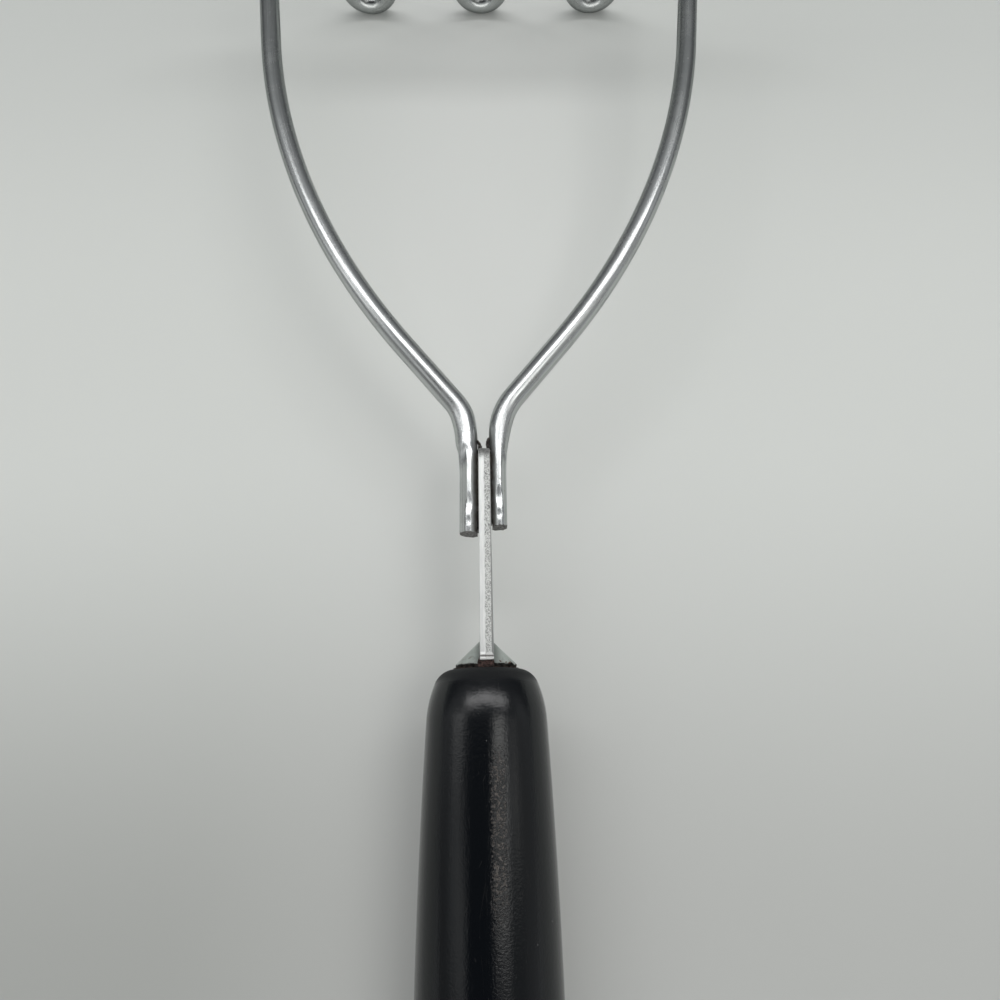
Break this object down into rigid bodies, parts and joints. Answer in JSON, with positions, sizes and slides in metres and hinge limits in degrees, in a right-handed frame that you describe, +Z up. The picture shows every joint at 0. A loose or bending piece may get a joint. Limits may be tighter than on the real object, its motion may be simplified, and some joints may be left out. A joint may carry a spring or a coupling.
{
  "type": "potato masher",
  "caption": "Potato masher: a bent wire forms curved arms and a serpentine mashing grid, welded to a flat tang that is set in a turned wooden handle behind a conical ferrule.",
  "frame": {"origin": "on the surface that the masher lies on, under the middle of its bounding box", "axes": "+Y from the handle to the mashing grid, +X across to the right, +Z up from the surface"},
  "size_m": [0.0996, 0.2802, 0.0608],
  "materials": {
    "plated_wire": "nickel-chrome plating, softly polished, lightly handled",
    "tang_steel": "sheared edge, half burnished and half grainy",
    "ferrule_steel": "dull grey, dirty at the rim",
    "weld_steel": "dark, heat-stained",
    "black_lacquered_wood": "black lacquer, semi-gloss, worn by handling"
  },
  "bodies": {
    "root": {"masher_wire": "plated_wire", "tang": "tang_steel", "ferrule": "ferrule_steel", "handle": "black_lacquered_wood", "weld_left": "weld_steel", "weld_right": "weld_steel"}
  },
  "joints": []
}
